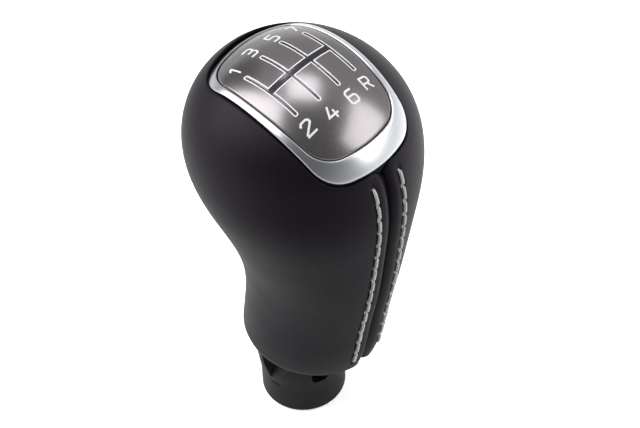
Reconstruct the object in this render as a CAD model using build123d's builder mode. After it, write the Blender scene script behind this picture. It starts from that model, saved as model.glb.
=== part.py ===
from build123d import *
import os
from math import asin, cos, degrees, radians, sin, sqrt

# A manual gear shift knob: a leather grip wrapped on a moulded core, with a bezel and a shift-pattern cap
# on top and a boot collar below. All sizes are in millimetres. The origin is the centre of the collar's
# foot, on the lever's axis. +Z is up, +Y is forward in the car, and the stitched seam is at the rear.

# Boot collar
collar_radius = 10.0
collar_foot_radius = 9.3
collar_foot_round = 0.9
collar_band = 7.0
collar_taper = 6.0
collar_height = 22.5
collar_bore_radius = 7.2
spigot_radius = 8.6
spigot_length = 6.0
window_azimuth = -20.5
window_sill = 10.5
window_width = 4.0
window_height = 8.5
window_corner = 1.3
notch_azimuth = -92.0
notch_sill = 9.2
notch_rake = 35.0
notch_left_angle = 38.0
notch_right_angle = 66.0
notch_top = 21.0
slit_drop = 0.8
slit_width = 2.6
slit_height = 0.45
slit_depth = 0.9

# Leather
leather_thickness = 1.4
hem_round = 1.8
collar_gap = 0.15
bezel_gap = 0.15

# Grip, by stations from the hem up: the rise from the station below, the half width, and the reach
# ahead of the lever's axis and behind it
hem_half_width = 14.2
hem_front = 12.1
hem_rear = 19.4
foot_rise = 4.5
foot_half_width = 14.4
foot_front = 11.8
foot_rear = 20.5
waist_rise = 13.0
waist_half_width = 14.7
waist_front = 10.2
waist_rear = 23.6
throat_rise = 14.0
throat_half_width = 16.3
throat_front = 11.2
throat_rear = 26.7
shoulder_rise = 16.0
shoulder_half_width = 20.7
shoulder_front = 16.4
shoulder_rear = 29.3
head_rise = 17.0
head_half_width = 24.4
head_front = 21.8
head_rear = 30.7
dome_rise = 23.0
dome_latitudes = (18, 36, 54, 70)

# Seam down the rear
seam_shoulder = 2.3
seam_mouth = 0.7
seam_floor = 0.2
seam_depth = 1.8

# Stitch rows
stitch_offset = 3.7
stitch_count = 15
stitch_gap = 0.5
thread_width = 0.8
thread_height = 0.5
thread_chamfer = 0.2
stitch_clearance = 0.03
row_bottom = 5.5
row_top = 71.5
row_steps = 8

# Bezel and cap, drawn in a plane through the head's centre that leans rearward
plate_tilt = 12.0
plate_front = 20.4
plate_rear = 21.0
plate_front_half_width = 13.8
plate_rear_half_width = 13.1
plate_side_bow = 0.6
plate_front_radius = 38.0
plate_rear_radius = 20.0
plate_corner = 4.5
bezel_proud = 0.6
bezel_depth = 2.0
bezel_side = 1.3
bezel_front = 1.8
bezel_chin = 4.7
bezel_shelf = 1.4
leg_width = 3.0
leg_thickness = 1.2
leg_drop = 5.0
leg_spread = 9.0
cap_proud = 0.3
cap_thickness = 1.4
cap_gap = 0.15

# Gate channels sunk into the cap
gate_pitch = 5.55
gate_centre = 3.8
gate_outer_reach = 7.1
gate_inner_reach = 8.2
gate_width = 1.3
gate_depth = 0.3

# Lever thread and insert
thread_radius = 5.35
insert_radius = 7.2
insert_length = 26.0
insert_chamfer = 0.6
insert_groove_depth = 0.8
insert_groove_width = 4.0
lever_room = 8.0
lever_clearance = 0.4
fit_clearance = 0.05

# Levels
core_bottom = collar_height + leather_thickness
foot_level = collar_height + foot_rise
waist_level = foot_level + waist_rise
throat_level = waist_level + throat_rise
shoulder_level = throat_level + shoulder_rise
head_level = shoulder_level + head_rise
spigot_top = core_bottom + spigot_length
insert_bottom = spigot_top + fit_clearance
insert_top = insert_bottom + insert_length

# Head
head_centre = (head_front - head_rear) / 2
head_half_depth = (head_front + head_rear) / 2
plate_normal = (0, -sin(radians(plate_tilt)), cos(radians(plate_tilt)))
plate_plane = Plane(origin=(0, head_centre, head_level), x_dir=(1, 0, 0), z_dir=plate_normal)
plate_reach = 2 * dome_rise


def grip_section(level, half_width, front, rear, inset):
    """One level cut of the grip: an ellipse with the seam's groove in its rear."""
    width_radius = half_width - inset
    depth_radius = (front + rear) / 2 - inset
    centre = (front - rear) / 2
    shoulder = seam_shoulder + inset
    mouth = seam_mouth + inset
    floor = seam_floor + inset
    lead = asin(shoulder / width_radius)
    shoulder_y = centre - depth_radius * cos(lead)
    slope = depth_radius * sin(lead) / (width_radius * cos(lead))
    mouth_y = shoulder_y - (shoulder - mouth) * slope
    floor_y = centre - depth_radius + seam_depth
    with BuildSketch(Plane.XY.offset(level)) as section:
        with BuildLine():
            EllipticalCenterArc(
                (0, centre), width_radius, depth_radius, degrees(lead) - 90, arc_size=360 - 2 * degrees(lead)
            )
            Bezier((-shoulder, shoulder_y), (-mouth, mouth_y), (-floor, floor_y))
            Line((-floor, floor_y), (floor, floor_y))
            Bezier((floor, floor_y), (mouth, mouth_y), (shoulder, shoulder_y))
        make_face()
    return section.sketch


def grip_sections(bottom, inset):
    """The grip's stations from a bottom level to the dome's last latitude."""
    sections = [
        grip_section(bottom, hem_half_width, hem_front, hem_rear, inset),
        grip_section(foot_level, foot_half_width, foot_front, foot_rear, inset),
        grip_section(waist_level, waist_half_width, waist_front, waist_rear, inset),
        grip_section(throat_level, throat_half_width, throat_front, throat_rear, inset),
        grip_section(shoulder_level, shoulder_half_width, shoulder_front, shoulder_rear, inset),
        grip_section(head_level, head_half_width, head_front, head_rear, inset),
    ]
    for latitude in dome_latitudes:
        shrink = cos(radians(latitude))
        level = head_level + (dome_rise - inset) * sin(radians(latitude))
        half_width = (head_half_width - inset) * shrink
        half_depth = (head_half_depth - inset) * shrink
        sections.append(
            grip_section(level, half_width + inset, head_centre + half_depth + inset, half_depth + inset - head_centre, inset)
        )
    return sections


def hem_sections():
    """The rounded lower edge, from its flat underside to the grip's wall."""
    sections = []
    for turn in (0, 30, 60, 90):
        level = collar_height + hem_round * (1 - cos(radians(turn)))
        inset = hem_round * (1 - sin(radians(turn)))
        sections.append(
            grip_section(level, hem_half_width - inset, hem_front - inset, hem_rear - inset, 0)
        )
    return sections


def dome(offset):
    """The head's ellipsoid, grown by an offset, with its poles at the sides."""
    with BuildPart() as ball:
        Sphere(head_half_width + offset, rotation=(0, 90, 0))
        depth_ratio = (head_half_depth + offset) / (head_half_width + offset)
        rise_ratio = (dome_rise + offset) / (head_half_width + offset)
        scale(by=(1, depth_ratio, rise_ratio))
    return ball.part.moved(Location((0, head_centre, head_level)))


def edge_bow(radius, half_width):
    """How far an arc of a radius falls back over a half width."""
    return radius - sqrt(radius**2 - half_width**2)


def plate_prism(side, front, rear, corner):
    """The plate's outline, drawn in by a margin at each side and raised along its normal through the dome."""
    front_half = plate_front_half_width - side
    rear_half = plate_rear_half_width - side
    front_y = plate_front - front
    rear_y = rear - plate_rear
    front_corner_y = front_y - edge_bow(plate_front_radius, front_half)
    rear_corner_y = rear_y + edge_bow(plate_rear_radius, rear_half)
    side_half = (front_half + rear_half) / 2 + plate_side_bow
    side_y = (front_corner_y + rear_corner_y) / 2
    with BuildPart() as prism:
        with BuildSketch(plate_plane) as outline:
            with BuildLine():
                ThreePointArc((-front_half, front_corner_y), (0, front_y), (front_half, front_corner_y))
                ThreePointArc((front_half, front_corner_y), (side_half, side_y), (rear_half, rear_corner_y))
                ThreePointArc((rear_half, rear_corner_y), (0, rear_y), (-rear_half, rear_corner_y))
                ThreePointArc((-rear_half, rear_corner_y), (-side_half, side_y), (-front_half, front_corner_y))
            make_face()
            fillet(outline.vertices(), corner)
        extrude(amount=plate_reach)
    return prism.part


def around(azimuth, radius, level):
    """A point on the collar; azimuth 0 is the rear and positive turns to the right."""
    return (radius * sin(radians(azimuth)), -radius * cos(radians(azimuth)), level)


def collar_plane(azimuth, radius, level):
    """An upright plane that faces out from the collar."""
    return Plane(origin=around(azimuth, radius, level), x_dir=around(azimuth + 90, 1, 0), z_dir=around(azimuth, 1, 0))


def clip_notch(azimuth):
    """The cut for a boot clip: a raked vee that starts at the sill, and a slit under its tip."""
    out = Vector(around(azimuth, 1, 0))
    side = Vector(around(azimuth + 90, 1, 0))
    rake = radians(notch_rake)
    run = Vector(0, 0, cos(rake)) - out * sin(rake)
    left = radians(notch_left_angle)
    right = radians(notch_right_angle)
    reach = 2 * collar_radius
    tip = Plane(origin=around(azimuth, collar_radius, notch_sill), x_dir=side, z_dir=run)
    with BuildPart() as notch:
        with BuildSketch(tip):
            with BuildLine():
                Polyline(
                    (0, 0),
                    (reach * sin(right), -reach * cos(right)),
                    (-reach * sin(left), -reach * cos(left)),
                    close=True,
                )
            make_face()
        extrude(amount=reach)
        split(bisect_by=Plane.XY.offset(notch_top), keep=Keep.BOTTOM)
        with BuildSketch(collar_plane(azimuth, collar_radius - slit_depth, notch_sill - slit_drop)):
            with Locations((slit_width / 2, 0)):
                Rectangle(slit_width, slit_height)
        extrude(amount=reach)
    return notch.part


# The grip's outside, and the core's outside one leather thickness in
with BuildPart() as grip_form:
    loft(grip_sections(collar_height + hem_round, 0))
    loft(hem_sections())

with BuildPart() as core_form:
    loft(grip_sections(core_bottom, leather_thickness))

# The steel insert that screws on to the lever
with BuildPart() as insert_blank:
    with BuildSketch(Plane.XZ):
        with BuildLine():
            groove_bottom = (insert_bottom + insert_top - insert_groove_width) / 2
            groove_top = groove_bottom + insert_groove_width
            groove_radius = insert_radius - insert_groove_depth
            Polyline(
                (0, insert_bottom),
                (insert_radius, insert_bottom),
                (insert_radius, groove_bottom),
                (groove_radius, groove_bottom),
                (groove_radius, groove_top),
                (insert_radius, groove_top),
                (insert_radius, insert_top),
                (0, insert_top),
                close=True,
            )
        make_face()
    revolve(axis=Axis.Z)

with BuildPart() as threaded_insert:
    add(insert_blank.part)
    with Locations((0, 0, insert_bottom)):
        Cylinder(thread_radius, insert_length, align=(Align.CENTER, Align.CENTER, Align.MIN), mode=Mode.SUBTRACT)
    mouth_edge = threaded_insert.edges().filter_by(GeomType.CIRCLE).group_by(Axis.Z)[0].sort_by(SortBy.RADIUS)[0]
    chamfer(mouth_edge, insert_chamfer)

# The bezel: a frame that follows the dome, with a shelf for the cap and four legs into the core
leg_x = (plate_front_half_width + plate_rear_half_width) / 2 + plate_side_bow - bezel_side
with BuildPart() as legs:
    with BuildSketch(plate_plane):
        with GridLocations(2 * leg_x, 2 * leg_spread, 2, 2):
            Rectangle(leg_thickness, leg_width)
    extrude(amount=plate_reach)
    add(dome(-bezel_depth - leg_drop), mode=Mode.SUBTRACT)

with BuildPart() as bezel_seat:
    add(dome(-bezel_depth))
    add(legs.part, mode=Mode.SUBTRACT)

with BuildPart() as cap_recess:
    add(plate_prism(bezel_side, bezel_front, bezel_chin, plate_corner - bezel_side))
    add(dome(cap_proud - cap_thickness), mode=Mode.SUBTRACT)

with BuildPart() as bezel:
    add(plate_prism(0, 0, 0, plate_corner))
    add(dome(bezel_proud), mode=Mode.INTERSECT)
    add(bezel_seat.part, mode=Mode.SUBTRACT)
    add(cap_recess.part, mode=Mode.SUBTRACT)
    shelf_side = bezel_side + bezel_shelf
    shelf_corner = plate_corner - shelf_side
    add(
        plate_prism(shelf_side, bezel_front + bezel_shelf, bezel_chin + bezel_shelf, shelf_corner),
        mode=Mode.SUBTRACT,
    )

# The cap that carries the shift pattern, with its gate channels
with BuildPart() as channels:
    with BuildSketch(plate_plane):
        with Locations((0, gate_centre)):
            Rectangle(3 * gate_pitch, gate_width)
            with GridLocations(3 * gate_pitch, 1, 2, 1):
                SlotOverall(2 * gate_outer_reach, gate_width, rotation=90)
            with GridLocations(gate_pitch, 1, 2, 1):
                SlotOverall(2 * gate_inner_reach, gate_width, rotation=90)
    extrude(amount=plate_reach)
    add(dome(cap_proud - gate_depth), mode=Mode.SUBTRACT)

with BuildPart() as pattern_cap:
    cap_side = bezel_side + cap_gap
    add(plate_prism(cap_side, bezel_front + cap_gap, bezel_chin + cap_gap, plate_corner - cap_side))
    add(dome(cap_proud), mode=Mode.INTERSECT)
    add(dome(cap_proud - cap_thickness + fit_clearance), mode=Mode.SUBTRACT)
    add(channels.part, mode=Mode.SUBTRACT)

# The collar that the boot clips to, with its spigot, windows and clip notches
with BuildPart() as boot_collar:
    with BuildSketch(Plane.XZ):
        with BuildLine():
            Polyline(
                (collar_bore_radius, 0),
                (collar_foot_radius, 0),
                (collar_foot_radius, collar_band),
                (collar_radius, collar_band + collar_taper),
                (collar_radius, core_bottom),
                (spigot_radius, core_bottom),
                (spigot_radius, spigot_top),
                (collar_bore_radius, spigot_top),
                close=True,
            )
        make_face()
    revolve(axis=Axis.Z)
    foot_edge = boot_collar.edges().filter_by(GeomType.CIRCLE).group_by(Axis.Z)[0].sort_by(SortBy.RADIUS)[-1]
    fillet(foot_edge, collar_foot_round)
    for turn in (0, 180):
        with BuildSketch(collar_plane(window_azimuth + turn, 0, window_sill + window_height / 2)):
            RectangleRounded(window_width, window_height, window_corner)
        extrude(amount=2 * collar_radius, mode=Mode.SUBTRACT)
    for turn in (0, 180):
        add(clip_notch(notch_azimuth + turn), mode=Mode.SUBTRACT)

# The moulded core: sockets for the collar and the insert, room for the lever's end, a seat for the bezel
with BuildPart() as bezel_pocket:
    add(plate_prism(-fit_clearance, -fit_clearance, -fit_clearance, plate_corner + fit_clearance))
    add(dome(-bezel_depth - fit_clearance), mode=Mode.SUBTRACT)

with BuildPart() as leg_slots:
    with BuildSketch(plate_plane):
        with GridLocations(2 * leg_x, 2 * leg_spread, 2, 2):
            Rectangle(leg_thickness + 2 * fit_clearance, leg_width + 2 * fit_clearance)
    extrude(amount=plate_reach)
    add(dome(-bezel_depth - leg_drop - fit_clearance), mode=Mode.SUBTRACT)

with BuildPart() as knob_core:
    add(core_form.part)
    upright = (Align.CENTER, Align.CENTER, Align.MIN)
    with Locations((0, 0, core_bottom)):
        Cylinder(spigot_radius + fit_clearance, spigot_length + fit_clearance, align=upright, mode=Mode.SUBTRACT)
    add(insert_blank.part, mode=Mode.SUBTRACT)
    with Locations((0, 0, insert_top)):
        Cylinder(thread_radius + lever_clearance, lever_room, align=upright, mode=Mode.SUBTRACT)
    add(bezel_pocket.part, mode=Mode.SUBTRACT)
    add(leg_slots.part, mode=Mode.SUBTRACT)

# The leather: the grip's outside less the core's, opened for the bezel and the collar
with BuildPart() as leather_cover:
    add(grip_form.part)
    add(core_form.part, mode=Mode.SUBTRACT)
    add(plate_prism(-bezel_gap, -bezel_gap, -bezel_gap, plate_corner + bezel_gap), mode=Mode.SUBTRACT)
    with Locations((0, 0, collar_height)):
        Cylinder(collar_radius + collar_gap, leather_thickness, align=upright, mode=Mode.SUBTRACT)

# The stitches: short thread bars that follow the leather on each side of the seam


def rear_contact(offset, level):
    """The point and the outward normal on the leather's rear, beside the seam at a level."""
    ray = Axis((offset, -2 * head_rear, level), (0, 1, 0))
    return min(grip_form.part.find_intersection_points(ray), key=lambda hit: hit[0].Y)


def stitch_row(offset):
    """A row of equal stitches, spaced evenly along the leather."""
    row_length = row_top - row_bottom
    levels = [collar_height + row_bottom + row_length * step / row_steps for step in range(row_steps + 1)]
    route = Spline(*[rear_contact(offset, level)[0] for level in levels])
    seats = []
    for index in range(stitch_count):
        place = (index + 0.5) / stitch_count
        point, normal = rear_contact(offset, route.position_at(place).Z)
        seats.append(
            Plane(origin=point + normal * stitch_clearance, x_dir=route.tangent_at(place), z_dir=normal)
        )
    with BuildPart() as stitch:
        with BuildSketch():
            SlotOverall(route.length / stitch_count - stitch_gap, thread_width)
        extrude(amount=thread_height)
        chamfer(stitch.faces().sort_by(Axis.Z)[-1].edges(), thread_chamfer)
    with BuildPart() as row:
        with Locations(*[seat.location for seat in seats]):
            add(stitch.part)
    return row.part


stitch_row_left = stitch_row(-stitch_offset)
stitch_row_right = stitch_row(stitch_offset)

# Each piece is written under its own name
os.makedirs("parts", exist_ok=True)
pieces = {
    "knob_core": knob_core.part,
    "leather_cover": leather_cover.part,
    "stitch_row_left": stitch_row_left,
    "stitch_row_right": stitch_row_right,
    "bezel": bezel.part,
    "pattern_cap": pattern_cap.part,
    "boot_collar": boot_collar.part,
    "threaded_insert": threaded_insert.part,
}
for name, piece in pieces.items():
    piece.label = name
    export_step(piece, f"parts/{name}.step")
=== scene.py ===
# A manual gear shift knob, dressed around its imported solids. Lengths are in metres, in the solids' frame:
# Z is the lever's axis, +Y is forward in the car, and the stitched seam of the grip faces -Y.
import random
from math import atan2, cos, exp, hypot, pi, radians, sin, sqrt

import bmesh
import bpy
from mathutils import Matrix, Vector
from mathutils.bvhtree import BVHTree


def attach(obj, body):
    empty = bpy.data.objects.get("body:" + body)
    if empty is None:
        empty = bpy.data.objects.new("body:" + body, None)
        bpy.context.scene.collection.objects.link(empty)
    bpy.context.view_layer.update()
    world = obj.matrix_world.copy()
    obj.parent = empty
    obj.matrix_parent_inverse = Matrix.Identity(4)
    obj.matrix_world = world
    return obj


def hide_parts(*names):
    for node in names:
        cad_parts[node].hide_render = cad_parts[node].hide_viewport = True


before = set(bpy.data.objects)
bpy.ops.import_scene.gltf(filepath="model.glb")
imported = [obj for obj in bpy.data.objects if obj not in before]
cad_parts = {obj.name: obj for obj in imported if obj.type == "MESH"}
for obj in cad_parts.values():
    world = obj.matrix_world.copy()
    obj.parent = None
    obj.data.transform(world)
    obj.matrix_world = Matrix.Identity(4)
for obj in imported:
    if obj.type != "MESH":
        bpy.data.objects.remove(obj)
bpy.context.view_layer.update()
mm = 0.001

# Threaded insert: a turned steel bush, moulded into the core, that screws on to the lever.
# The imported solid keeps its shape, and its surface shows fine rings from the lathe tool.


def linear(code):
    """An sRGB hex colour as linear red, green, blue and alpha."""
    channels = [int(code[place:place + 2], 16) / 255 for place in (1, 3, 5)]
    return [c / 12.92 if c <= 0.04045 else ((c + 0.055) / 1.055) ** 2.4 for c in channels] + [1.0]


def add_node(tree, kind, inputs, **settings):
    """Add a node with its settings; each input is a value, or the output that feeds it."""
    node = tree.nodes.new(kind)
    for name, value in settings.items():
        setattr(node, name, value)
    for name, value in inputs.items():
        if isinstance(value, bpy.types.NodeSocket):
            tree.links.new(value, node.inputs[name])
        else:
            node.inputs[name].default_value = value
    return node


def start_material(name, **sockets):
    """A material with its surface shader's constant sockets set, and its object coordinates."""
    material = bpy.data.materials.new(name)
    material.use_nodes = True
    tree = material.node_tree
    shader = tree.nodes["Principled BSDF"]
    for socket, value in sockets.items():
        shader.inputs[socket.replace("_", " ")].default_value = value
    coords = add_node(tree, "ShaderNodeTexCoord", {})
    return material, tree, shader, coords.outputs["Object"]


def mottle(tree, shader, pattern, tones, roughness, gloss_pattern=None):
    """Vary a surface's colour between two tones and its roughness between two values with a pattern."""
    low_tone, high_tone = [linear(tone) for tone in tones]
    shade = add_node(tree, "ShaderNodeMix", {0: pattern, 6: low_tone, 7: high_tone}, data_type="RGBA")
    gloss_pattern = pattern if gloss_pattern is None else gloss_pattern
    ends = {"To Min": roughness[0], "To Max": roughness[1]}
    finish = add_node(tree, "ShaderNodeMapRange", {"Value": gloss_pattern, **ends})
    tree.links.new(shade.outputs[2], shader.inputs["Base Color"])
    tree.links.new(finish.outputs[0], shader.inputs["Roughness"])


# Turned steel: bright metal with rings 0.4 mm apart that spread its reflections along the lathe's axis.
# The wave texture turns by 20 radians for each unit of its scaled coordinate.
ring_spacing = 0.4 * mm
wave_rate = 20
turned_steel, tree, shader, place = start_material("turned_steel", Metallic=1.0)
rings = add_node(
    tree,
    "ShaderNodeTexWave",
    {"Vector": place, "Scale": 2 * pi / (wave_rate * ring_spacing), "Distortion": 1.5, "Detail": 2.0},
    bands_direction="Z",
)
mottle(tree, shader, rings.outputs["Fac"], ("#8d8f92", "#a9abae"), (0.28, 0.42))
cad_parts["threaded_insert"].data.materials.clear()
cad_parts["threaded_insert"].data.materials.append(turned_steel)

# Knob core: the hard body of the knob, moulded in glass-filled nylon around the insert.
# Leather hides nearly all of it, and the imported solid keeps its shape.

# Moulded nylon: dark grey plastic with a fine spark-eroded texture of 0.5 mm.
moulded_nylon, tree, shader, place = start_material("moulded_nylon", IOR=1.53)
texture = add_node(tree, "ShaderNodeTexNoise", {"Vector": place, "Scale": 1 / (0.5 * mm), "Detail": 3.0})
mottle(tree, shader, texture.outputs["Fac"], ("#1c1c1d", "#2a2a2b"), (0.5, 0.65))
relief = add_node(tree, "ShaderNodeBump", {"Height": texture.outputs["Fac"], "Distance": 0.03 * mm})
tree.links.new(relief.outputs[0], shader.inputs["Normal"])
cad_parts["knob_core"].data.materials.clear()
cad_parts["knob_core"].data.materials.append(moulded_nylon)

# Boot collar: the black moulding under the grip that the gaiter's ring clips to.
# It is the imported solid's form with its moulded edges broken, pressed into the core by its spigot.
collar_edge = 0.16 * mm
collar_crease = radians(28)
collar_flat = radians(0.6)
collar_weld = 0.001 * mm


def finish_mesh(bm, name, materials, crease=radians(40)):
    """Turn a bmesh into a smooth-shaded object whose edges stay sharp past a crease angle."""
    mesh = bpy.data.meshes.new(name)
    bm.to_mesh(mesh)
    bm.free()
    for material in materials:
        mesh.materials.append(material)
    mesh.polygons.foreach_set("use_smooth", [True] * len(mesh.polygons))
    mesh.set_sharp_from_angle(angle=crease)
    piece = bpy.data.objects.new(name, mesh)
    bpy.context.scene.collection.objects.link(piece)
    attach(piece, "root")
    return piece


# Moulded plastic: black, low in gloss, with a spark-eroded texture of 0.35 mm and faint handling marks.
moulded_black, tree, shader, place = start_material(
    "moulded_black_plastic", IOR=1.5, Specular_IOR_Level=0.16
)
texture = add_node(
    tree, "ShaderNodeTexNoise", {"Vector": place, "Scale": 1 / (0.35 * mm), "Detail": 4.0}
)
marks = add_node(tree, "ShaderNodeTexNoise", {"Vector": place, "Scale": 1 / (6 * mm), "Detail": 5.0})
mottle(tree, shader, marks.outputs["Fac"], ("#0a0a0c", "#121114"), (0.38, 0.55))
relief = add_node(tree, "ShaderNodeBump", {"Height": texture.outputs["Fac"], "Distance": 0.012 * mm})
tree.links.new(relief.outputs[0], shader.inputs["Normal"])

bm = bmesh.new()
bm.from_mesh(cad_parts["boot_collar"].data)
bmesh.ops.remove_doubles(bm, verts=bm.verts, dist=collar_weld)
bmesh.ops.dissolve_limit(bm, angle_limit=collar_flat, verts=bm.verts, edges=bm.edges)
collar = finish_mesh(bm, "boot_collar_moulding", [moulded_black], collar_crease)
softened = collar.modifiers.new("broken_edges", "BEVEL")
softened.limit_method = "ANGLE"
softened.angle_limit = collar_crease
softened.width = collar_edge
softened.segments = 2
softened.harden_normals = True
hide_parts("boot_collar")

# Leather cover: one piece of black nappa, glued round the core and closed by a sewn seam down the rear.
# The hem is turned under at the collar and the upper edge is tucked in beside the bezel. Outside and lining
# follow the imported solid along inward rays, with stitch holes, a pressed line and an open seam top added.
head_centre = Vector((0, -4.45, 87.0)) * mm
head_radii = Vector((24.4, 26.25, 23.0)) * mm
plate_tilt = radians(12)
plate_across = Vector((1, 0, 0))
plate_ahead = Vector((0, cos(plate_tilt), sin(plate_tilt)))
plate_up = Vector((0, -sin(plate_tilt), cos(plate_tilt)))
plate_front = 22.0 * mm
plate_rear = 20.7 * mm
plate_front_half = 12.0 * mm
plate_rear_half = 12.12 * mm
plate_side_bow = 1.7 * mm
front_edge_radius = 25 * mm
rear_edge_radius = 22.5 * mm
plate_corner = 8.2 * mm
plate_sink_front = 1.6 * mm
plate_sink_start = 6 * mm
plate_sink_power = 5
pocket_depth = 0.3 * mm
pocket_from = 0.5
grip_axis_y = -5.5 * mm
ray_length = 60 * mm
hem_level = 23.2 * mm
hem_round = 1.8 * mm
hem_turns = [60, 40, 20, 0]
collar_opening = 10.2 * mm
lining_level = 23.85 * mm
leather_lining = 1.3 * mm
lining_start = 0.3 * mm
lining_limit = 2.5 * leather_lining
lining_share = 0.95
lining_every = 6
bezel_gap = 0.15 * mm
tuck_round = 0.4 * mm
tuck_limit = 1.9 * mm
tuck_drop = 0.85 * mm
tuck_ease = 0.1
stitch_offset = 3.7 * mm
stitch_count = 15
row_bottom = 28.0 * mm
row_top = 94.0 * mm
row_samples = 132
hole_depth = 0.42 * mm
hole_width = 0.5 * mm
pressed_depth = 0.24 * mm
pressed_width = 0.65 * mm
pressed_ease = 2 * mm
mouth_depth = 0.7 * mm
mouth_reach = 2.6 * mm
faded_out = 3
# Columns beside the seam, in mm from its middle, closest together at the stitch row
rear_columns = [0, 0.2, 0.4, 0.65, 0.95, 1.3, 1.7, 2.1, 2.5, 2.85, 3.1]
rear_columns += [3.3, 3.5, 3.7, 3.9, 4.1, 4.3, 4.55, 4.9, 5.4, 6.0]
round_columns = 132
neck_step = 0.5 * mm
dome_rows = 36
outline_limit = 40 * mm
outline_halvings = 34
loop_weld = 0.0002 * mm


def on_dome(across, ahead, offset):
    """The point above a place on the plate's plane where the head's ellipsoid, grown by an offset, is."""
    radii = head_radii + Vector((offset, offset, offset))
    foot = plate_across * across + plate_ahead * ahead
    foot_scaled = Vector(foot[axis] / radii[axis] for axis in range(3))
    up_scaled = Vector(plate_up[axis] / radii[axis] for axis in range(3))
    square = up_scaled.dot(up_scaled)
    half = foot_scaled.dot(up_scaled)
    rest = foot_scaled.dot(foot_scaled) - 1
    rise = (-half + sqrt(half * half - square * rest)) / square
    return head_centre + foot + plate_up * rise


def plate_sink(ahead):
    """How far the plate lies below the head's curve: nothing at the chin and most at the front edge."""
    share = max(0, (ahead + plate_sink_start) / (plate_front + plate_sink_start))
    return plate_sink_front * share ** plate_sink_power


def edge_bow(radius, half_width):
    """How far an arc of a radius falls back over a half width."""
    return radius - sqrt(radius * radius - half_width * half_width)


def plate_discs(side, front, rear):
    """The discs whose overlap is the plate's outline, drawn in at each edge, the rear disc first."""
    front_half = plate_front_half - side
    rear_half = plate_rear_half - side
    front_y = plate_front - front
    rear_y = rear - plate_rear
    front_corner = front_y - edge_bow(front_edge_radius, front_half)
    rear_corner = rear_y + edge_bow(rear_edge_radius, rear_half)
    chord = hypot(front_half - rear_half, front_corner - rear_corner)
    side_radius = (chord * chord / 4 + plate_side_bow * plate_side_bow) / (2 * plate_side_bow)
    side_y = (front_corner + rear_corner) / 2
    side_x = (front_half + rear_half) / 2 + plate_side_bow - side_radius
    lean = (front_half - rear_half) / chord * side_radius
    return [
        (0, rear_y + rear_edge_radius, rear_edge_radius),
        (0, front_y - front_edge_radius, front_edge_radius),
        (side_x, side_y + lean, side_radius),
        (-side_x, side_y + lean, side_radius),
    ]


def plate_core(side, front, rear, corner):
    """The plate's outline less its corner rounding: the rear disc first, and the two right-hand corners."""
    discs = [(x, y, radius - corner) for x, y, radius in plate_discs(side, front, rear)]
    right = discs[2]
    corners = []
    for (x, y, radius), end in zip(discs[:2], (-1, 1)):
        away = Vector((right[0] - x, right[1] - y))
        share = (away.length_squared + radius * radius - right[2] * right[2]) / (2 * away.length_squared)
        swing = sqrt(radius * radius / away.length_squared - share * share)
        crossings = [
            Vector((x, y)) + away * share + Vector((-away.y, away.x)) * swing * turn for turn in (-1, 1)
        ]
        corners.append(max(crossings, key=lambda spot: spot.y * end))
    return discs, corners


def core_distance(spot, discs, corners):
    """How far a place is outside the plate's core."""
    spot = Vector((abs(spot.x), spot.y))
    distance = None
    for index, (x, y, radius) in enumerate(discs[:3]):
        away = Vector((spot.x - x, spot.y - y))
        if index == 0 and away.y > 0:
            continue
        over = away.length - radius
        if over <= 0:
            continue
        foot = spot - away.normalized() * over
        rear_corner, front_corner = corners
        held = rear_corner.y <= foot.y <= front_corner.y if index == 2 else foot.x <= corners[index].x
        if held:
            return over
        distance = min((spot - corner).length for corner in corners)
    return distance if distance is not None else -1.0


def plate_point(turn, core, corner):
    """The outline's point at a turn about the plate's centre, from the rear to the right."""
    discs, corners = core
    out = Vector((sin(turn), -cos(turn)))
    near = 0.0
    far = outline_limit
    for _ in range(outline_halvings):
        reach = (near + far) / 2
        if core_distance(out * reach, discs, corners) > corner:
            far = reach
        else:
            near = reach
    return out * near


solid = bmesh.new()
solid.from_mesh(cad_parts["leather_cover"].data)
leather_tree = BVHTree.FromBMesh(solid)
solid.free()


def skin(origin, inward):
    """The leather's outer point, its lining point and the inward direction on a ray from outside."""
    outer = leather_tree.ray_cast(origin, inward)[0]
    lining = leather_tree.ray_cast(outer + inward * lining_start, inward)[0]
    if lining is None or (lining - outer).length > lining_limit:
        lining = outer + inward * leather_lining
    return outer, outer.lerp(lining, lining_share), inward


def seam_side_route(offset):
    """Points and outward normals up the leather beside the seam, with the length to each."""
    route = []
    length = 0.0
    for step in range(row_samples + 1):
        level = row_bottom + (row_top - row_bottom) * step / row_samples
        behind = Vector((offset, -ray_length, level))
        point, normal = leather_tree.ray_cast(behind, Vector((0, 1, 0)))[:2]
        if route:
            length += (point - route[-1][0]).length
        route.append((point, normal, length))
    return route


def along(route, length):
    """The point and normal at a length along a route."""
    for (start, start_normal, start_length), (end, end_normal, end_length) in zip(route, route[1:]):
        if length <= end_length:
            share = (length - start_length) / (end_length - start_length)
            return start.lerp(end, share), start_normal.lerp(end_normal, share).normalized()
    return route[-1][:2]


stitch_routes = {side: seam_side_route(side * stitch_offset) for side in (-1, 1)}
stitch_holes = []
for route in stitch_routes.values():
    for index in range(stitch_count + 1):
        stitch_holes.append(along(route, route[-1][2] * index / stitch_count)[0])

columns = [("rear", x * mm) for x in rear_columns]
columns += [("round", (index + 1) / (round_columns + 1)) for index in range(round_columns)]
columns += [("rear", -x * mm) for x in reversed(rear_columns[1:])]
rear_limit = rear_columns[-1] * mm


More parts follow.
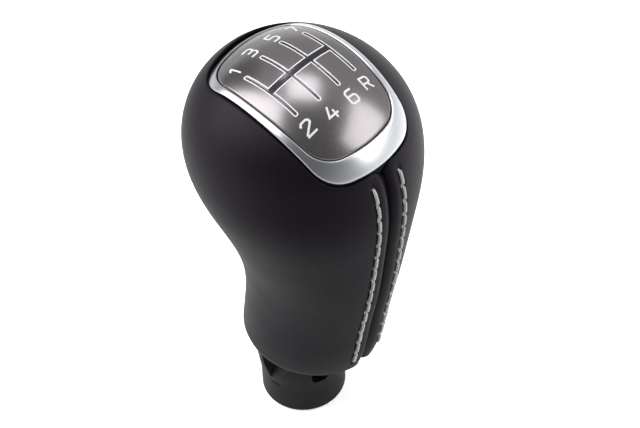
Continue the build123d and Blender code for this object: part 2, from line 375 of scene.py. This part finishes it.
def neck_ring(level):
    """The cover's points round the grip at a level below the head's centre."""
    edge = skin(Vector((rear_limit, -ray_length, level)), Vector((0, 1, 0)))[0]
    lead = atan2(rear_limit, grip_axis_y - edge.y)
    ring = []
    for kind, share in columns:
        if kind == "rear":
            ring.append(skin(Vector((share, -ray_length, level)), Vector((0, 1, 0))))
        else:
            turn = lead + share * 2 * (pi - lead)
            out = Vector((sin(turn), -cos(turn), 0))
            ring.append(skin(Vector((0, grip_axis_y, level)) + out * ray_length, -out))
    return ring


def tuck_place(kind, share, margin):
    """Where a column meets the opening for the bezel, a margin outside the bezel's outline."""
    corner = plate_corner + margin
    if kind == "rear":
        return Vector((share, edge_bow(rear_edge_radius, abs(share)) - plate_rear - margin))
    lead = atan2(rear_limit, plate_rear + margin - edge_bow(rear_edge_radius, rear_limit))
    core = plate_core(-margin, -margin, -margin, corner)
    return plate_point(lead + share * 2 * (pi - lead), core, corner)


head_ring = neck_ring(head_centre.z)
tuck_start = [on_dome(*tuck_place(kind, share, bezel_gap + tuck_round), 0) for kind, share in columns]


def dome_skin(out, share_up):
    """The cover's points on a ray to the head's centre, or the head's ellipsoid over the solid's pocket."""
    found = skin(head_centre + out * ray_length, -out)
    reach = 1 / sqrt(sum((out[axis] / head_radii[axis]) ** 2 for axis in range(3)))
    if share_up > pocket_from and reach - (found[0] - head_centre).dot(out) > pocket_depth:
        outer = head_centre + out * reach
        return outer, outer - out * leather_lining, -out
    return found


def dome_ring(share_up):
    """The cover's points at a share of the way from the head's widest level to the bezel's opening."""
    ring = []
    for (kind, share), (low, _, _), high in zip(columns, head_ring, tuck_start):
        if kind == "rear":
            lean = share_up * atan2(high.z - head_centre.z, head_centre.y - high.y)
            out = Vector((0, -cos(lean), sin(lean)))
            ring.append(skin(Vector((share, head_centre.y, head_centre.z)) + out * ray_length, -out))
        else:
            out = (low - head_centre).normalized().slerp((high - head_centre).normalized(), share_up)
            ring.append(dome_skin(out, share_up))
    return ring


neck_foot = hem_level + hem_round
neck_count = round((head_centre.z - neck_foot) / neck_step)
rings = []
for index in range(neck_count):
    rings.append(neck_ring(neck_foot + (head_centre.z - neck_foot) * index / neck_count))
for index in range(dome_rows + 1):
    rings.append(dome_ring(index / dome_rows))
seam_top = on_dome(0, -plate_rear - bezel_gap, 0)


def pressed(outer, inward):
    """An outer point, pushed in by the stitch holes, the thread's line and the seam's open top."""
    below_chin = (outer - seam_top).length
    if below_chin < faded_out * mouth_reach:
        outer = outer + inward * mouth_depth * exp(-(below_chin / mouth_reach) ** 2)
    gap = abs(abs(outer.x) - stitch_offset)
    over_foot = (outer.z - row_bottom) / pressed_ease + 1
    under_top = (row_top - outer.z) / pressed_ease + 1
    beyond = gap > faded_out * pressed_width or min(over_foot, under_top) <= 0
    if beyond or outer.y > head_centre.y:
        return outer
    ease = min(1.0, over_foot, under_top)
    depth = ease * pressed_depth * exp(-(gap / pressed_width) ** 2)
    hole = min((outer - hole).length for hole in stitch_holes)
    depth += hole_depth * exp(-(hole / hole_width) ** 2)
    return outer + inward * depth


outside = [[pressed(outer, inward) for outer, _, inward in ring] for ring in rings]
hem_rows = []
for turn in hem_turns:
    inset = hem_round * (1 - sin(radians(turn)))
    level = hem_level + hem_round * (1 - cos(radians(turn)))
    row = []
    for outer in outside[0]:
        middle = Vector((0, grip_axis_y, outer.z))
        point = outer + (middle - outer).normalized() * inset
        point.z = level
        row.append(point)
    hem_rows.append(row)
opening = [Vector((point.x, point.y, 0)).normalized() * collar_opening for point in outside[0]]
hem_rows.append([point + Vector((0, 0, hem_level)) for point in opening])
hem_rows.append([point + Vector((0, 0, lining_level)) for point in opening])

tuck_rows = []
groove_depth = [(point - target).length for point, target in zip(outside[-1], tuck_start)]
for turn, drop in ((30, 0), (60, 0), (90, 0), (90, tuck_drop)):
    margin = bezel_gap + tuck_round * (1 - sin(radians(turn)))
    fall = tuck_round * (1 - cos(radians(turn))) + drop
    row = []
    for (kind, share), depth in zip(columns, groove_depth):
        below = max(fall, min(depth + tuck_ease * fall, tuck_limit))
        row.append(on_dome(*tuck_place(kind, share, margin), -below))
    tuck_rows.append(row)

lining_rows = [[lining for _, lining, _ in ring] for ring in rings[2:-2:lining_every]]
loop = hem_rows[::-1] + outside + tuck_rows + lining_rows[::-1]


def closed_loop(bm, loop):
    """A closed skin through rings of points: a grid bent round both ways and merged where it meets."""
    across = len(loop[0])
    around = len(loop)
    made = bmesh.ops.create_grid(bm, x_segments=across, y_segments=around, size=0.5)
    for vert in made["verts"]:
        column = round((vert.co.x + 0.5) * across) % across
        row = round((vert.co.y + 0.5) * around) % around
        vert.co = loop[row][column]
    bmesh.ops.remove_doubles(bm, verts=bm.verts, dist=loop_weld)
    bmesh.ops.recalc_face_normals(bm, faces=bm.faces)


# Black nappa: smooth dyed hide with a pebbled grain of about 0.9 mm, pores of 0.25 mm and a soft sheen.
nappa, tree, shader, place = start_material(
    "black_nappa_leather", IOR=1.5, Specular_IOR_Level=0.2, Specular_Tint=linear("#fae8ff")
)
pebbles = add_node(
    tree,
    "ShaderNodeTexVoronoi",
    {"Vector": place, "Scale": 1 / (0.9 * mm), "Randomness": 1.0},
    feature="SMOOTH_F1",
)
pores = add_node(tree, "ShaderNodeTexNoise", {"Vector": place, "Scale": 1 / (0.25 * mm), "Detail": 3.0})
hide = add_node(tree, "ShaderNodeTexNoise", {"Vector": place, "Scale": 1 / (12 * mm), "Detail": 4.0})
grain = add_node(
    tree,
    "ShaderNodeMath",
    {0: pores.outputs["Fac"], 1: 0.5, 2: pebbles.outputs["Distance"]},
    operation="MULTIPLY_ADD",
)
relief = add_node(
    tree, "ShaderNodeBump", {"Height": grain.outputs[0], "Distance": 0.03 * mm, "Strength": 0.7}
)
mottle(tree, shader, hide.outputs["Fac"], ("#080609", "#0c090d"), (0.44, 0.56))
tree.links.new(relief.outputs[0], shader.inputs["Normal"])

bm = bmesh.new()
closed_loop(bm, loop)
cover = finish_mesh(bm, "leather_wrap", [nappa], crease=radians(80))
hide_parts("leather_cover")

# Seam stitches: two rows of grey upholstery thread, one on each side of the seam.
# Each stitch is a length of three-ply thread that comes out of one hole and goes down the next.
ply_count = 3
ply_radius = 0.165 * mm
ply_orbit = 0.245 * mm
ply_twist = 1.7 * mm
thread_lift = 0.12 * mm
thread_dive = 0.8 * mm
dive_run = 0.42 * mm
stitch_gap = 0.1 * mm
stitch_samples = 26
thread_sway = 0.06 * mm
heading_reach = 0.1 * mm

# Twisted polyester thread: pale grey and slightly glossy, with a fibrous mottle of 0.12 mm.
sewing_thread, tree, shader, place = start_material(
    "twisted_polyester_thread", Sheen_Weight=0.25, IOR=1.55
)
fibres = add_node(tree, "ShaderNodeTexNoise", {"Vector": place, "Scale": 1 / (0.12 * mm), "Detail": 2.0})
mottle(tree, shader, fibres.outputs["Fac"], ("#9c9c9e", "#e4e4e4"), (0.5, 0.75))
relief = add_node(tree, "ShaderNodeBump", {"Height": fibres.outputs["Fac"], "Distance": 0.02 * mm})
tree.links.new(relief.outputs[0], shader.inputs["Normal"])

hand = random.Random(7)
for side, node in ((-1, "stitch_row_left"), (1, "stitch_row_right")):
    route = stitch_routes[side]
    pitch = route[-1][2] / stitch_count
    plies = bpy.data.curves.new(node + "_plies", "CURVE")
    plies.dimensions = "3D"
    plies.bevel_depth = ply_radius
    plies.bevel_resolution = 2
    plies.use_fill_caps = True
    for index in range(stitch_count):
        start = index * pitch + stitch_gap / 2
        run = pitch - stitch_gap
        sway = hand.uniform(-thread_sway, thread_sway)
        phase = hand.uniform(0, 2 * pi)
        for ply in range(ply_count):
            strand = plies.splines.new("POLY")
            strand.points.add(stitch_samples)
            for sample in range(stitch_samples + 1):
                length = run * sample / stitch_samples
                point, normal = along(route, start + length)
                place_before = along(route, start + length - heading_reach)[0]
                place_after = along(route, start + length + heading_reach)[0]
                across = (place_after - place_before).normalized().cross(normal)
                near_end = min(length, run - length)
                lift = thread_lift - thread_dive * exp(-(near_end / dive_run) ** 2)
                turn = phase + 2 * pi * (length / ply_twist + ply / ply_count)
                lean = sway * (2 * length / run - 1)
                rise = lift + ply_orbit * cos(turn)
                aside = lean + ply_orbit * sin(turn)
                strand.points[sample].co = (*(point + normal * rise + across * aside), 1)
    carrier = bpy.data.objects.new(node + "_carrier", plies)
    bpy.context.scene.collection.objects.link(carrier)
    bm = bmesh.new()
    bm.from_mesh(bpy.data.meshes.new_from_object(carrier))
    bpy.data.objects.remove(carrier)
    stitches = finish_mesh(bm, node + "_thread", [sewing_thread], crease=radians(80))
    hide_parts(node)

# Bezel: a die-cast frame, satin chromed, that follows the head's dome and widens to a chin at the rear.
# Four legs under it press into the core. The land stands just above the dome, sinks below the leather's lip
# at the front, and has both edges rounded.
bezel_side = 1.34 * mm
bezel_front = 1.6 * mm
bezel_chin = 4.2 * mm
bezel_proud = 0.36 * mm
bezel_wall = 0.14 * mm
bezel_foot = -1.9 * mm
foot_sinks = -0.2
shelf_sinks = 0.3
shelf_level = -1.05 * mm
shelf_reach = 1.3 * mm
outer_round = 0.13 * mm
inner_round = 0.5 * mm
inner_corner = 7.5 * mm
bezel_columns = 400
# How far below the dome the chrome ends and the near black painted shadow begins
shadow_wall_depth = 0.12 * mm
land_shares = [0.12, 0.3, 0.5, 0.7, 0.88]
edge_turns = [0, 22.5, 45, 67.5, 90]

# Satin chrome: bright plating with a soft 1.2 mm mottle in its polish that blurs what it reflects.
satin_chrome, tree, shader, place = start_material("satin_chrome", Metallic=1.0)
grain = add_node(tree, "ShaderNodeTexNoise", {"Vector": place, "Scale": 1 / (1.2 * mm), "Detail": 2.0})
cloud = add_node(tree, "ShaderNodeTexNoise", {"Vector": place, "Scale": 1 / (9 * mm), "Detail": 2.0})
mottle(tree, shader, cloud.outputs["Fac"], ("#d5d8dd", "#e2e4e8"), (0.27, 0.29), grain.outputs["Fac"])

# Painted shadow: the bezel's walls and underside below the land, coloured near black as the shade in the
# gap beside the leather, and dull with a 0.6 mm grain.
painted_shadow_wall, tree, shader, place = start_material("shadow_gap_painted_casting", Specular_IOR_Level=0.15)
grain = add_node(tree, "ShaderNodeTexNoise", {"Vector": place, "Scale": 1 / (0.6 * mm), "Detail": 2.0})
mottle(tree, shader, grain.outputs["Fac"], ("#09090a", "#121213"), (0.6, 0.75))

outer_core = plate_core(0, 0, 0, plate_corner)
inner_core = plate_core(bezel_side, bezel_front, bezel_chin, inner_corner)
turns = [2 * pi * index / bezel_columns for index in range(bezel_columns)]
outer_edge = [plate_point(turn, outer_core, plate_corner) for turn in turns]
inner_edge = [plate_point(turn, inner_core, inner_corner) for turn in turns]


def bezel_ring(offset, sinks, from_outer=None, from_inner=None, land_share=None):
    """A ring of the bezel at a height off the dome: a distance in from an edge, or a share of the land."""
    ring = []
    for outer, inner in zip(outer_edge, inner_edge):
        inward = (inner - outer).normalized()
        if land_share is not None:
            start = outer + inward * outer_round
            spot = start.lerp(inner - inward * inner_round, land_share)
        elif from_outer is not None:
            spot = outer + inward * from_outer
        else:
            spot = inner - inward * from_inner
        ring.append(on_dome(spot.x, spot.y, offset - sinks * plate_sink(spot.y)))
    return ring


loop = [bezel_ring(bezel_foot, foot_sinks, from_outer=0)]
loop.append(bezel_ring(bezel_proud - bezel_wall, 1, from_outer=0))
for turn in edge_turns:
    fall = outer_round * (1 - sin(radians(turn)))
    loop.append(bezel_ring(bezel_proud - fall, 1, from_outer=outer_round * (1 - cos(radians(turn)))))
for share in land_shares:
    loop.append(bezel_ring(bezel_proud, 1, land_share=share))
for turn in reversed(edge_turns):
    fall = inner_round * (1 - sin(radians(turn)))
    loop.append(bezel_ring(bezel_proud - fall, 1, from_inner=inner_round * (1 - cos(radians(turn)))))
loop.append(bezel_ring(shelf_level, shelf_sinks, from_inner=0))
loop.append(bezel_ring(shelf_level, shelf_sinks, from_inner=-shelf_reach))
loop.append(bezel_ring(bezel_foot, 0, from_inner=-shelf_reach))
bm = bmesh.new()
closed_loop(bm, loop)
# Faces more than a set depth below the dome, the walls and underside, take the near black painted shadow.
for face in bm.faces:
    centre = face.calc_center_median() - head_centre
    reach = sqrt(sum((centre[axis] / head_radii[axis]) ** 2 for axis in range(3)))
    level = centre.length * (1 - 1 / reach) + plate_sink(centre.dot(plate_ahead))
    face.material_index = int(level < -shadow_wall_depth)
bezel = finish_mesh(bm, "bezel_frame", [satin_chrome, painted_shadow_wall], crease=radians(50))
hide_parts("bezel")

# Pattern cap: a domed gunmetal plate that sits in the bezel, glued to its shelf.
# The shift gates are pressed into it as shallow channels with rounded ends and a floor painted darker as
# shade.
cap_gap = 0.15 * mm
cap_proud = 0.1 * mm
cap_under = -1.0 * mm
under_sinks = 0.3
cap_round = 0.3 * mm
cap_cells = 240
cap_weld = 0.0005 * mm
under_shares = [1, 2 / 3, 1 / 3, 0]
edge_samples = 1440
gate_columns = [-8.2 * mm, -2.6 * mm, 3.0 * mm, 8.6 * mm]
gate_ahead = [6.85 * mm, 8.05 * mm, 8.05 * mm, 6.85 * mm]
gate_behind = [7.7 * mm, 8.6 * mm, 8.6 * mm, 7.7 * mm]
gate_level = 4.45 * mm
gate_half = 0.3 * mm
bar_half = 0.76 * mm
gate_depth = 0.16 * mm
gate_wall = 0.12 * mm
wall_share = 0.75
grid_middle = 1e-9

# Gunmetal lacquer: dark metallic paint, 0.12 mm flake and a glossy coat, so reflections are soft patches.
gunmetal, tree, shader, place = start_material(
    "gunmetal_lacquer", Metallic=0.85, Coat_Weight=0.25, Coat_Roughness=0.12
)
flake = add_node(tree, "ShaderNodeTexNoise", {"Vector": place, "Scale": 1 / (0.12 * mm), "Detail": 2.0})
mottle(tree, shader, flake.outputs["Fac"], ("#787476", "#8d898b"), (0.22, 0.3))

# Channel floor: the lacquer painted darker as the shade in the pressed channels, and smooth, so it mirrors
# the room more sharply.
shaded_channel_lacquer, tree, shader, place = start_material("gunmetal_channel_painted_shade", Metallic=1.0)
flake = add_node(tree, "ShaderNodeTexNoise", {"Vector": place, "Scale": 1 / (0.12 * mm), "Detail": 2.0})
mottle(tree, shader, flake.outputs["Fac"], ("#504e53", "#59575c"), (0.17, 0.21))


def gate_distance(across, ahead):
    """How far a place on the plate is outside the shift gates, or inside them if negative."""
    rise = ahead - gate_level
    past_end = max(gate_columns[0] - gate_half - across, across - gate_columns[-1] - gate_half)
    nearest = max(abs(rise) - bar_half, past_end)
    for column, front, rear in zip(gate_columns, gate_ahead, gate_behind):
        past = max(rise - (front - gate_half), -rise - (rear - gate_half), 0)
        nearest = min(nearest, hypot(across - column, past) - gate_half)
    return nearest


def channel_depth(across, ahead):
    """How deep the pressed channel is at a place on the plate."""
    inside = -gate_distance(across, ahead)
    if inside <= 0:
        return 0.0
    share = min(inside / gate_half, 1.0)
    wall = min(inside / gate_wall, 1.0)
    wall_drop = wall_share * wall * wall * (3 - 2 * wall)
    return gate_depth * (wall_drop + (1 - wall_share) * sin(share * pi / 2))


cap_corner = inner_corner - cap_gap
cap_core = plate_core(bezel_side + cap_gap, bezel_front + cap_gap, bezel_chin + cap_gap, cap_corner)
edge_turn = 2 * pi / edge_samples
cap_edge = [plate_point(index * edge_turn, cap_core, cap_corner) for index in range(edge_samples + 1)]


def cap_place(u, v):
    """The plate's place for a point of a square grid, with the square's border on the cap's outline."""
    share = max(abs(u), abs(v))
    if share < grid_middle:
        return Vector((0, 0)), 1.0
    if abs(u) > abs(v):
        turn = pi / 4 * v / u + (pi / 2 if u > 0 else 3 * pi / 2)
    else:
        turn = -pi / 4 * u / v + (0 if v < 0 else pi)
    spot = turn % (2 * pi) / (2 * pi) * edge_samples
    low = int(spot) % edge_samples
    edge = cap_edge[low].lerp(cap_edge[low + 1], spot - int(spot))
    return edge * share, edge.length * (1 - share)


bm = bmesh.new()
made = bmesh.ops.create_grid(bm, x_segments=cap_cells, y_segments=cap_cells, size=1.0)
for vert in made["verts"]:
    spot, margin = cap_place(vert.co.x, vert.co.y)
    height = cap_proud - plate_sink(spot.y) - channel_depth(spot.x, spot.y)
    if margin < cap_round:
        height -= cap_round - sqrt(cap_round * cap_round - (cap_round - margin) ** 2)
    vert.co = on_dome(spot.x, spot.y, height)
# Faces inside the gates take the channel lacquer, painted darker as shade in the recess.
for face in bm.faces:
    centre = face.calc_center_median() - head_centre
    face.material_index = int(gate_distance(centre.x, centre.dot(plate_ahead)) < 0)
border = [edge for edge in bm.edges if edge.is_boundary]
for share, outer_share in zip(under_shares, [1] + under_shares):
    made = bmesh.ops.extrude_edge_only(bm, edges=border)
    border = [item for item in made["geom"] if isinstance(item, bmesh.types.BMEdge)]
    for vert in [item for item in made["geom"] if isinstance(item, bmesh.types.BMVert)]:
        local = vert.co - head_centre
        ahead = local.dot(plate_ahead) * share / outer_share
        under = cap_under - under_sinks * plate_sink(ahead)
        vert.co = on_dome(local.x * share / outer_share, ahead, under)
bmesh.ops.remove_doubles(bm, verts=bm.verts, dist=cap_weld)
bmesh.ops.recalc_face_normals(bm, faces=bm.faces)
cap = finish_mesh(bm, "pattern_cap_plate", [gunmetal, shaded_channel_lacquer], crease=radians(60))
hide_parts("pattern_cap")

# Gate outlines: a fine line of white ink printed round the shift gates' edge.
# It is one closed outline, drawn flat, rounded at the gate ends and laid on the dome.
line_width = 0.25 * mm
line_outside = 0.235 * mm
ink_height = 0.015 * mm
line_piece = 0.45 * mm
cut_weld = 0.0001 * mm
end_segments = 7
end_round_share = 0.97

# Screen ink: white and satin, with a coverage that varies a little over 0.4 mm.
white_ink, tree, shader, place = start_material("white_screen_ink", IOR=1.5)
cover_noise = add_node(
    tree, "ShaderNodeTexNoise", {"Vector": place, "Scale": 1 / (0.4 * mm), "Detail": 3.0}
)
mottle(tree, shader, cover_noise.outputs["Fac"], ("#cfcfd1", "#e8e8ea"), (0.35, 0.5))


def lay_on_cap(bm, lift):
    """Cut a flat shape into short pieces, lay it on the cap's dome and give it the ink's thickness."""
    for axis in (Vector((1, 0, 0)), Vector((0, 1, 0))):
        reach = max(abs(vert.co.dot(axis)) for vert in bm.verts)
        cuts = int(reach / line_piece)
        for cut in range(-cuts, cuts + 1):
            everything = bm.verts[:] + bm.edges[:] + bm.faces[:]
            cut_place = axis * cut * line_piece
            bmesh.ops.bisect_plane(bm, geom=everything, dist=cut_weld, plane_co=cut_place, plane_no=axis)
    for vert in bm.verts:
        height = lift - plate_sink(vert.co.y) - channel_depth(vert.co.x, vert.co.y)
        vert.co = on_dome(vert.co.x, vert.co.y, height)
    bmesh.ops.recalc_face_normals(bm, faces=bm.faces)
    upward = sum(face.normal.dot(plate_up) for face in bm.faces)
    if upward < 0:
        bmesh.ops.reverse_faces(bm, faces=bm.faces)
    bmesh.ops.solidify(bm, geom=bm.faces, thickness=ink_height)


half = gate_half + line_outside
bar = bar_half + line_outside
outline = []
for column, rear in zip(gate_columns, gate_behind):
    left, right = column - half, column + half
    low = gate_level - rear - line_outside
    side = gate_level - bar
    outline += [(left, side), (left, low), (right, low), (right, side)]
for column, front in zip(reversed(gate_columns), reversed(gate_ahead)):
    left, right = column - half, column + half
    high = gate_level + front + line_outside
    side = gate_level + bar
    outline += [(right, side), (right, high), (left, high), (left, side)]
# The outer slots run straight past the neutral bar's ends, so the four corners there are left out.
bar_corners = (0, 15, 16, 31)
outline = [point for index, point in enumerate(outline) if index not in bar_corners]
bm = bmesh.new()
bm.faces.new([bm.verts.new((x, y, 0)) for x, y in outline])
ends = [vert for vert in bm.verts if abs(vert.co.y - gate_level) > 2 * bar]
bmesh.ops.bevel(
    bm,
    geom=ends,
    offset=end_round_share * half,
    offset_type="OFFSET",
    segments=end_segments,
    profile=0.5,
    affect="VERTICES",
    material=-1,
)
bm.faces.ensure_lookup_table()
bmesh.ops.inset_individual(bm, faces=bm.faces[:], thickness=line_width, use_even_offset=True)
inner = max(bm.faces, key=lambda face: len(face.verts))
bmesh.ops.delete(bm, geom=[inner], context="FACES_ONLY")
lay_on_cap(bm, cap_proud + ink_height)
lines = finish_mesh(bm, "gate_lines", [white_ink])

# Gate figures: the numbers and the reverse letter at the gate ends, in the same white ink.
# Each is drawn in plain square strokes of one width, upright to the driver, and laid on the dome.
figure_width_ratio = 1.12
stroke_share = 0.13
edge_x = 0.3
half_stroke = stroke_share / 2
bowl = [(0.18, 0.06), (edge_x, -0.06), (edge_x, -0.38), (0.18, -0.5)]
figure_strokes = {
    "1": [[(-0.17, 0.28), (0.02, 0.5), (0.08, 0.5), (0.08, -0.5)]],
    "2": [[(-edge_x, 0.26), (-edge_x, 0.38), (-0.18, 0.5), (0.18, 0.5), (edge_x, 0.38), (edge_x, 0.2),
           (-edge_x, -0.34), (-edge_x, -0.5), (0.34, -0.5)]],
    "3": [[(-edge_x, 0.5), (0.18, 0.5), (edge_x, 0.38), (edge_x, 0.12), (0.2, 0), (-0.2, 0)],
          [(0.24, -half_stroke), (edge_x, -0.15), (edge_x, -0.38), (0.18, -0.5), (-edge_x, -0.5)]],
    "4": [[(-0.02, 0.5), (-0.32, -0.2), (0.38, -0.2)],
          [(0.16, 0.14), (0.16, half_stroke - 0.2)], [(0.16, -0.2 - half_stroke), (0.16, -0.5)]],
    "5": [[(edge_x, 0.5), (-0.28, 0.5), (-0.28, 0.06)] + bowl + [(-edge_x, -0.5)]],
    "6": [[(0.26, 0.5), (-0.16, 0.5), (-edge_x, 0.36), (-edge_x, -0.38), (-0.18, -0.5)]
          + bowl[::-1] + [(half_stroke - edge_x, 0.06)]],
    "7": [[(-edge_x, 0.5), (0.26, 0.5), (edge_x, 0.42), (-0.08, -0.5)]],
    "R": [[(-edge_x, -0.5), (-edge_x, 0.5), (0.18, 0.5), (edge_x, 0.38), (edge_x, 0.1), (0.18, -0.02),
           (half_stroke - edge_x, -0.02)], [(0.06, -0.02 - half_stroke), (0.33, -0.5)]],
}
figures = [
    ("1", 3.0, -7.85, 14.4),
    ("3", 3.2, -2.5, 15.5),
    ("5", 3.2, 3.35, 15.0),
    ("7", 3.0, 8.6, 14.1),
    ("2", 3.5, -8.25, -6.7),
    ("4", 3.5, -2.65, -7.7),
    ("6", 3.5, 3.3, -7.6),
    ("R", 3.3, 8.4, -6.85),
]


def draw_stroke(bm, points, width):
    """A flat band of one width along a line of points, mitred at its bends."""
    ends = []
    for index, point in enumerate(points):
        before = (point - points[max(index - 1, 0)]).normalized()
        after = (points[min(index + 1, len(points) - 1)] - point).normalized()
        ahead = (before + after).normalized()
        across = Vector((-ahead.y, ahead.x, 0))
        reach = width / 2 / max(ahead.dot(after if after.length else before), 0.5)
        ends.append([bm.verts.new(point + across * reach * side) for side in (1, -1)])
    for (left, right), (next_left, next_right) in zip(ends, ends[1:]):
        bm.faces.new((left, right, next_right, next_left))


for figure, height, across, ahead in figures:
    bm = bmesh.new()
    for stroke in figure_strokes[figure]:
        size = height * mm * (1 - stroke_share)
        middle = Vector((across, ahead, 0)) * mm
        points = [middle + Vector((x * figure_width_ratio, y, 0)) * size for x, y in stroke]
        draw_stroke(bm, points, height * mm * stroke_share)
    lay_on_cap(bm, cap_proud + ink_height)
    mark = finish_mesh(bm, "gate_figure_" + figure, [white_ink])

# Studio: a white floor, three soft boxes on stands and a white room with black flags in it.
# Two black cards on the floor are seen only in reflections. The camera stands where the photograph was
# taken, behind the knob and to its left.
view = bpy.context.scene.view_settings
view.view_transform = "Standard"
floor_half = 3.0
floor_glow = 0.55
# Each card's middle on the floor, the reach of its full black, the reach where it ends, and its strength
black_cards = [((-0.05, 0.75, 0.0), 0.4, 0.8, 0.6), ((-0.14, -0.16, 0.0), 0.12, 0.32, 0.78)]

# Studio white: matt white paint that also glows for rays that show it, with the cards in its reflections.
studio_white, tree, shader, place = start_material("studio_white")
tree.nodes.remove(shader)
rays = add_node(tree, "ShaderNodeLightPath", {})
seen = rays.outputs["Is Camera Ray"]
for kind in ("Is Glossy Ray", "Is Transmission Ray"):
    either = add_node(tree, "ShaderNodeMath", {0: seen, 1: rays.outputs[kind]}, operation="MAXIMUM")
    seen = either.outputs[0]
glow = add_node(tree, "ShaderNodeMath", {0: seen, 1: floor_glow}, operation="MULTIPLY")
paint = add_node(tree, "ShaderNodeBsdfDiffuse", {"Color": linear("#f4f4f4")})
light = add_node(tree, "ShaderNodeEmission", {"Strength": glow.outputs[0]})
both = add_node(tree, "ShaderNodeAddShader", {0: paint.outputs[0], 1: light.outputs[0]})
hidden = 0.0
for middle, inner_reach, outer_reach, strength in black_cards:
    away = add_node(tree, "ShaderNodeVectorMath", {0: place, 1: middle}, operation="DISTANCE")
    ends = {"From Min": inner_reach, "From Max": outer_reach, "To Min": strength, "To Max": 0}
    card = add_node(tree, "ShaderNodeMapRange", {"Value": away.outputs["Value"], **ends})
    either = add_node(tree, "ShaderNodeMath", {0: hidden, 1: card.outputs[0]}, operation="MAXIMUM")
    hidden = either.outputs[0]
glossy = add_node(
    tree, "ShaderNodeMath", {0: hidden, 1: rays.outputs["Is Glossy Ray"]}, operation="MULTIPLY"
)
black = add_node(tree, "ShaderNodeBsdfDiffuse", {"Color": linear("#0a0a0a")})
mixed = {0: glossy.outputs[0], 1: both.outputs[0], 2: black.outputs[0]}
covered = add_node(tree, "ShaderNodeMixShader", mixed)
tree.links.new(covered.outputs[0], tree.nodes["Material Output"].inputs["Surface"])

bm = bmesh.new()
bmesh.ops.create_grid(bm, x_segments=1, y_segments=1, size=floor_half)
floor_mesh = bpy.data.meshes.new("studio_floor")
bm.to_mesh(floor_mesh)
bm.free()
floor_mesh.materials.append(studio_white)
floor = bpy.data.objects.new("studio_floor", floor_mesh)
bpy.context.scene.collection.objects.link(floor)

room = bpy.data.worlds.new("studio_room")
room.use_nodes = True
bpy.context.scene.world = room
tree = room.node_tree
sky = tree.nodes["Background"]
coords = add_node(tree, "ShaderNodeTexCoord", {})
dark_side = (-0.52, -0.33, 0.79)
black_flag = (-0.10, 0.94, 0.33)
camera_side = (-0.87, -0.5, 0.0)
straight_up = (0.0, 0.0, 1.0)


def patch(direction, start, full, outside, inside):
    """A level of the room's light that changes from outside to inside as a ray turns to a direction."""
    ray = coords.outputs["Generated"]
    facing = add_node(tree, "ShaderNodeVectorMath", {0: ray, 1: direction}, operation="DOT_PRODUCT")
    ends = {"From Min": start, "From Max": full, "To Min": outside, "To Max": inside}
    value = {"Value": facing.outputs["Value"], **ends}
    return add_node(tree, "ShaderNodeMapRange", value, interpolation_type="SMOOTHSTEP").outputs[0]


ceiling = patch(dark_side, 0.2, 0.95, 0.55, 0.1)
horizon = patch(straight_up, 0.02, 0.25, 0.9, 0.0)
screen = patch(camera_side, 0.3, 0.8, 1.0, 0.1)
flag = patch(black_flag, 0.88, 0.97, 1.0, 0.12)
wall = add_node(tree, "ShaderNodeMath", {0: horizon, 1: screen}, operation="MULTIPLY")
level = add_node(tree, "ShaderNodeMath", {0: ceiling, 1: wall.outputs[0]}, operation="MAXIMUM")
level = add_node(tree, "ShaderNodeMath", {0: level.outputs[0], 1: flag}, operation="MULTIPLY")
tree.links.new(level.outputs[0], sky.inputs["Strength"])
sky.inputs["Color"].default_value = linear("#ffffff")


def soft_box(name, azimuth, elevation, distance, width, height, power, spin=0.0):
    """A soft box that faces the knob's head, at an azimuth from forward towards the right."""
    lamp = bpy.data.lights.new(name, "AREA")
    lamp.shape = "RECTANGLE"
    lamp.size = width
    lamp.size_y = height
    lamp.energy = power
    holder = bpy.data.objects.new(name, lamp)
    out = Vector((sin(azimuth) * cos(elevation), cos(azimuth) * cos(elevation), sin(elevation)))
    holder.location = head_centre + out * distance
    facing = out.to_track_quat("Z", "Y").to_matrix() @ Matrix.Rotation(spin, 3, "Z")
    holder.rotation_euler = facing.to_euler()
    bpy.context.scene.collection.objects.link(holder)


soft_box("overhead_box", radians(46), radians(72), 1.0, 0.42, 0.42, 2.6)
soft_box("front_left_box", radians(-40), radians(40), 1.1, 0.72, 1.4, 15.0, radians(-22))
soft_box("right_box", radians(142), radians(35), 1.1, 0.92, 0.68, 6.6)

camera_data = bpy.data.cameras.new("studio_camera")
camera_data.lens = 235.62
camera_data.sensor_fit = "HORIZONTAL"
camera_data.sensor_width = 36.0
camera_data.clip_start = 0.05
camera = bpy.data.objects.new("studio_camera", camera_data)
camera_place = Vector((-379.402, -422.187, 752.204)) * mm
camera_aim = Vector((6.865, -0.983, 53.105)) * mm
camera_roll = radians(-3.38)
back = (camera_place - camera_aim).normalized()
level_right = Vector((0, 0, 1)).cross(back).normalized()
level_up = back.cross(level_right)
right = level_right * cos(camera_roll) + level_up * sin(camera_roll)
up = level_up * cos(camera_roll) - level_right * sin(camera_roll)
camera.matrix_world = Matrix.Translation(camera_place) @ Matrix((right, up, back)).transposed().to_4x4()
bpy.context.scene.collection.objects.link(camera)
bpy.context.scene.camera = camera
